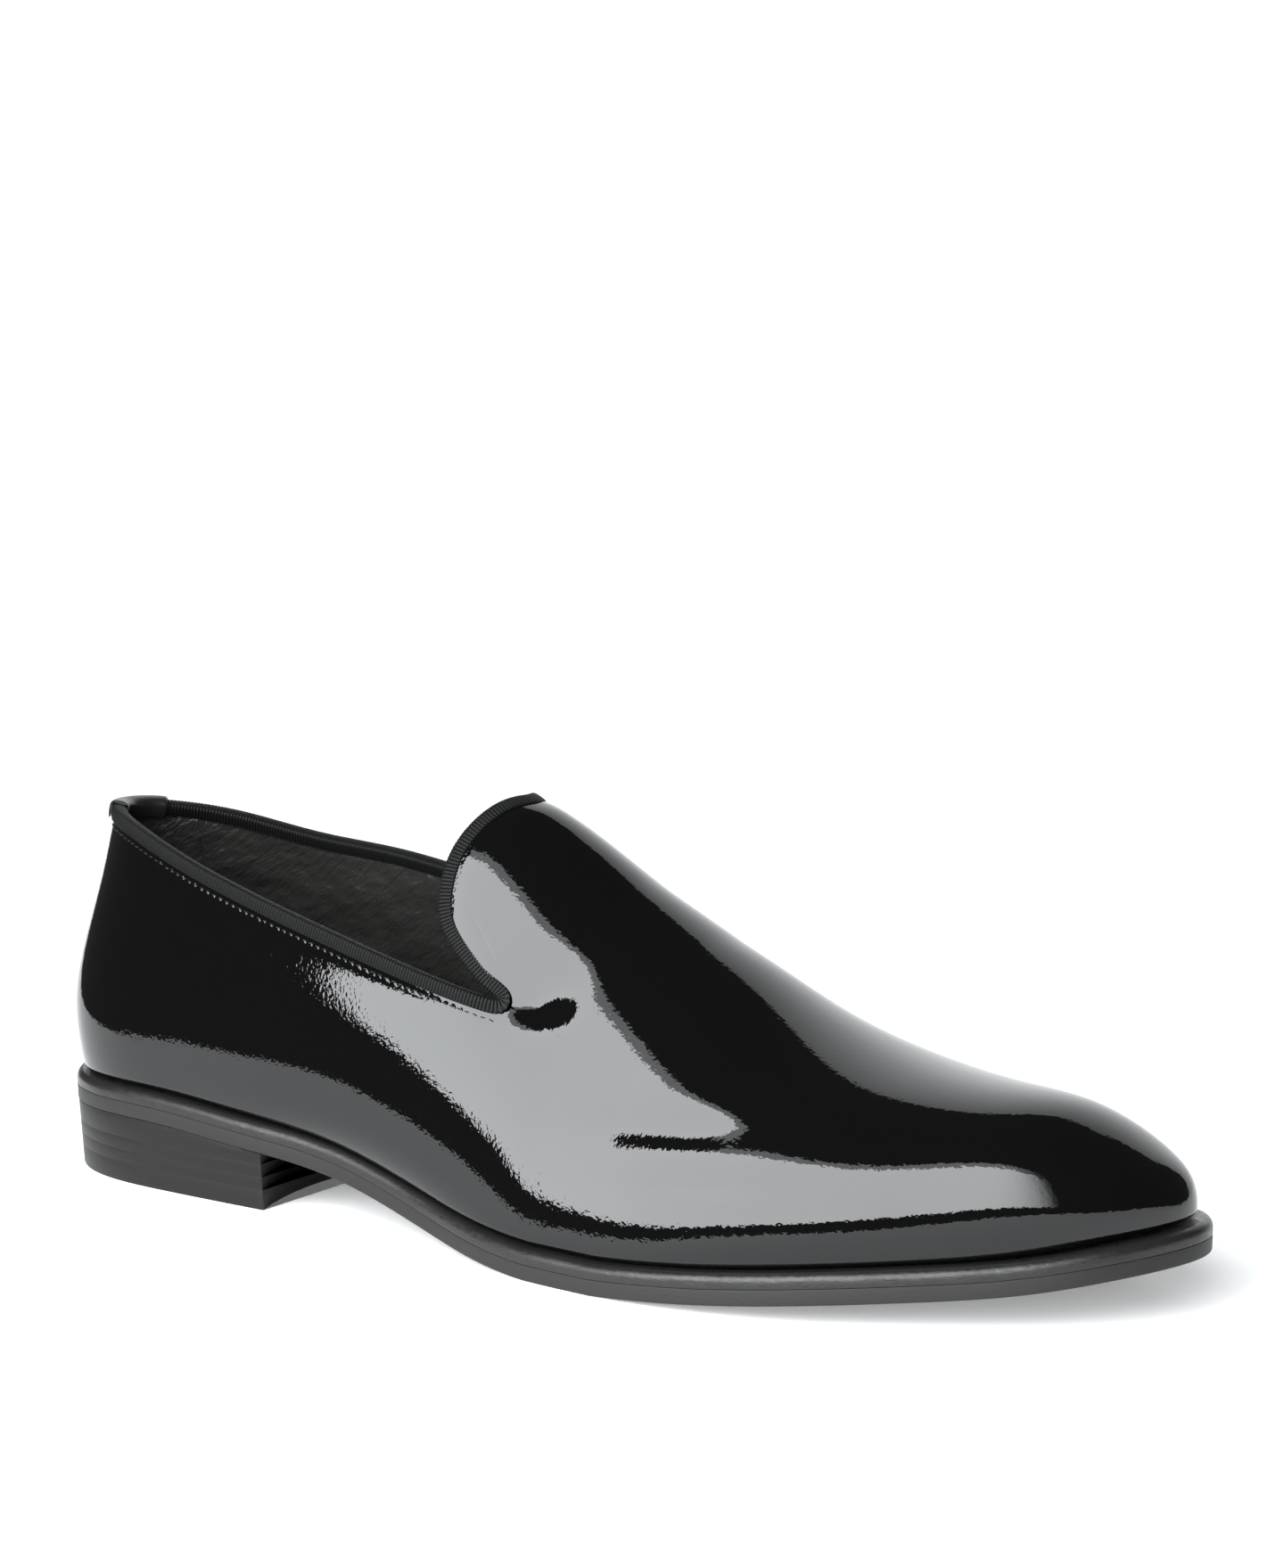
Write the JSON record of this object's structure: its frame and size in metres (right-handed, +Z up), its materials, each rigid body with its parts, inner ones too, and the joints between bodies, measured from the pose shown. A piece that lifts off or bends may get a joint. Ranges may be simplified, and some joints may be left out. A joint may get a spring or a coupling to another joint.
{
  "type": "patent leather slip-on dress shoe",
  "caption": "Slip-on dress shoe with a hollow one-piece patent upper, ribbon-bound topline and throat, back tab, layered sole and low stacked heel.",
  "frame": {"origin": "middle of the shoe's box, on the floor that it stands on", "axes": "+X to the toe, +Y to the inner side of the foot, +Z up"},
  "size_m": [0.3036, 0.1028, 0.102],
  "materials": {
    "patent_leather": "black leather under a clear lacquer, mirror gloss",
    "insole_leather": "black lining leather, soft sheen",
    "sole_edge_leather": "black sole leather, inked and burnished round edge",
    "sole_leather": "black sole leather, inked edge, fine grain underneath",
    "heel_leather": "stacked black leather with faint layer lines",
    "heel_rubber": "black rubber top piece, satin",
    "grosgrain": "black ribbed ribbon, dull",
    "smooth_leather": "black smooth leather, satin"
  },
  "bodies": {
    "root": {"upper": "patent_leather", "insole": "insole_leather", "midsole": "sole_edge_leather", "outsole": "sole_leather", "heel_wedge": "heel_leather", "heel_lift_upper": "heel_leather", "heel_lift_lower": "heel_leather", "heel_top_piece": "heel_rubber", "quarter_binding": "grosgrain", "vamp_binding": "grosgrain", "back_tab": "smooth_leather"}
  },
  "joints": []
}
